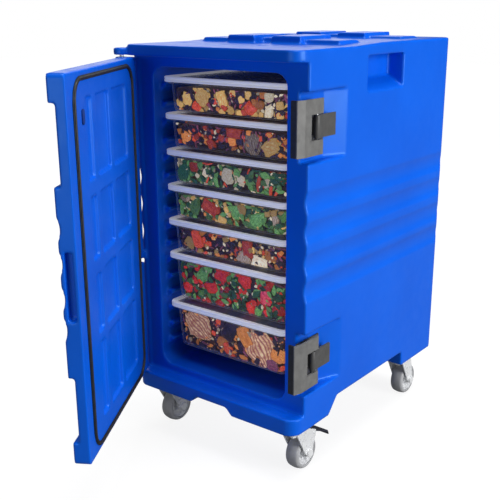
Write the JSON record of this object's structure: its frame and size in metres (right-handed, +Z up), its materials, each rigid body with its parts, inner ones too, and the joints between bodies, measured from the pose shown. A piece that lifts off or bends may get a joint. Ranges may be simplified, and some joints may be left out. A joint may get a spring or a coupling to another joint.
{
  "type": "insulated food carrier",
  "caption": "Foam-insulated front-loading food carrier on casters, with a hinged sealed door, hook latches, ripple-sided moulded body and covered food pans on rails.",
  "frame": {"origin": "middle of the footprint of the whole object with its door standing open, at the floor under the wheels", "axes": "+Z up, +Y from the door towards the back of the cabinet, +X towards the latch side"},
  "size_m": [0.4634, 0.9956, 0.888],
  "materials": {
    "blue_plastic": "satin",
    "foam": "matte",
    "steel": "satin",
    "zinc": "satin",
    "grey_nylon": "satin",
    "black_rubber": "matte",
    "tyre": "satin",
    "hub": "satin",
    "clear_pan": "gloss",
    "pale_lid": "satin",
    "pedal": "satin",
    "vegetables": "satin"
  },
  "bodies": {
    "cabinet": {"cabinet_shell": "blue_plastic", "cabinet_foam": "foam", "hinge_pins": "steel", "upper_latch_base": "grey_nylon", "lower_latch_base": "grey_nylon", "latch_pins": "steel", "latch_screws": "steel", "caster_plates": "zinc", "caster_bolts": "zinc"},
    "door": {"door_shell": "blue_plastic", "door_foam": "foam", "door_gasket": "black_rubber", "door_vent": "black_rubber"},
    "upper_latch": {"upper_latch_hook": "grey_nylon", "upper_latch_lip": "black_rubber"},
    "lower_latch": {"lower_latch_hook": "grey_nylon", "lower_latch_lip": "black_rubber"},
    "front_left_swivel": {"front_left_fork": "zinc", "front_left_axle": "zinc"},
    "front_left_wheel": {"front_left_tyre": "tyre", "front_left_hub": "hub"},
    "front_left_pedal": {"front_left_brake": "pedal"},
    "front_right_swivel": {"front_right_fork": "zinc", "front_right_axle": "zinc"},
    "front_right_wheel": {"front_right_tyre": "tyre", "front_right_hub": "hub"},
    "front_right_pedal": {"front_right_brake": "pedal"},
    "rear_left_swivel": {"rear_left_fork": "zinc", "rear_left_axle": "zinc"},
    "rear_left_wheel": {"rear_left_tyre": "tyre", "rear_left_hub": "hub"},
    "rear_right_swivel": {"rear_right_fork": "zinc", "rear_right_axle": "zinc"},
    "rear_right_wheel": {"rear_right_tyre": "tyre", "rear_right_hub": "hub"},
    "pan_set_1": {"pan_1": "clear_pan", "lid_1": "pale_lid", "food_1": "vegetables"},
    "pan_set_2": {"pan_2": "clear_pan", "lid_2": "pale_lid", "food_2": "vegetables"},
    "pan_set_3": {"pan_3": "clear_pan", "lid_3": "pale_lid", "food_3": "vegetables"},
    "pan_set_4": {"pan_4": "clear_pan", "lid_4": "pale_lid", "food_4": "vegetables"},
    "pan_set_5": {"pan_5": "clear_pan", "lid_5": "pale_lid", "food_5": "vegetables"},
    "pan_set_6": {"pan_6": "clear_pan", "lid_6": "pale_lid", "food_6": "vegetables"},
    "pan_set_7": {"pan_7": "clear_pan", "lid_7": "pale_lid", "food_7": "vegetables"}
  },
  "joints": [
    {"name": "door_hinge", "type": "hinge", "parent": "cabinet", "child": "door", "pos_m": [-0.21575, -0.12166, 0.5], "axis": [0, 0, -1], "range_deg": [-59.3, 195], "deforming": ["upper_latch_lip", "lower_latch_lip"]},
    {"name": "upper_latch_pivot", "type": "hinge", "parent": "cabinet", "child": "upper_latch", "pos_m": [0.22575, -0.05816, 0.733], "axis": [0, 0, 1], "range_deg": [-4, 160]},
    {"name": "lower_latch_pivot", "type": "hinge", "parent": "cabinet", "child": "lower_latch", "pos_m": [0.22575, -0.05816, 0.262], "axis": [0, 0, 1], "range_deg": [-4, 160]},
    {"name": "front_left_swivel", "type": "hinge", "parent": "cabinet", "child": "front_left_swivel", "pos_m": [-0.17175, -0.06416, 0.097], "axis": [0, 0, 1], "continuous": true},
    {"name": "front_left_roll", "type": "hinge", "parent": "front_left_swivel", "child": "front_left_wheel", "pos_m": [-0.17175, -0.03916, 0.0385], "axis": [1, 0, 0], "continuous": true},
    {"name": "front_left_brake", "type": "hinge", "parent": "front_left_swivel", "child": "front_left_pedal", "pos_m": [-0.17175, -0.02016, 0.0795], "axis": [-1, 0, 0], "range_deg": [0, 10]},
    {"name": "front_right_swivel", "type": "hinge", "parent": "cabinet", "child": "front_right_swivel", "pos_m": [0.18825, -0.06416, 0.097], "axis": [0, 0, 1], "continuous": true},
    {"name": "front_right_roll", "type": "hinge", "parent": "front_right_swivel", "child": "front_right_wheel", "pos_m": [0.18825, -0.03916, 0.0385], "axis": [1, 0, 0], "continuous": true},
    {"name": "front_right_brake", "type": "hinge", "parent": "front_right_swivel", "child": "front_right_pedal", "pos_m": [0.18825, -0.02016, 0.0795], "axis": [-1, 0, 0], "range_deg": [0, 10]},
    {"name": "rear_left_swivel", "type": "hinge", "parent": "cabinet", "child": "rear_left_swivel", "pos_m": [-0.17175, 0.39384, 0.097], "axis": [0, 0, 1], "continuous": true},
    {"name": "rear_left_roll", "type": "hinge", "parent": "rear_left_swivel", "child": "rear_left_wheel", "pos_m": [-0.17175, 0.41884, 0.0385], "axis": [1, 0, 0], "continuous": true},
    {"name": "rear_right_swivel", "type": "hinge", "parent": "cabinet", "child": "rear_right_swivel", "pos_m": [0.18825, 0.39384, 0.097], "axis": [0, 0, 1], "continuous": true},
    {"name": "rear_right_roll", "type": "hinge", "parent": "rear_right_swivel", "child": "rear_right_wheel", "pos_m": [0.18825, 0.41884, 0.0385], "axis": [1, 0, 0], "continuous": true},
    {"name": "pan_1_slide", "type": "slide", "parent": "cabinet", "child": "pan_set_1", "axis": [0, -1, 0], "range_m": [0, 0.085]},
    {"name": "pan_2_slide", "type": "slide", "parent": "cabinet", "child": "pan_set_2", "axis": [0, -1, 0], "range_m": [0, 0.085]},
    {"name": "pan_3_slide", "type": "slide", "parent": "cabinet", "child": "pan_set_3", "axis": [0, -1, 0], "range_m": [0, 0.085]},
    {"name": "pan_4_slide", "type": "slide", "parent": "cabinet", "child": "pan_set_4", "axis": [0, -1, 0], "range_m": [0, 0.085]},
    {"name": "pan_5_slide", "type": "slide", "parent": "cabinet", "child": "pan_set_5", "axis": [0, -1, 0], "range_m": [0, 0.085]},
    {"name": "pan_6_slide", "type": "slide", "parent": "cabinet", "child": "pan_set_6", "axis": [0, -1, 0], "range_m": [0, 0.085]},
    {"name": "pan_7_slide", "type": "slide", "parent": "cabinet", "child": "pan_set_7", "axis": [0, -1, 0], "range_m": [0, 0.085]}
  ]
}
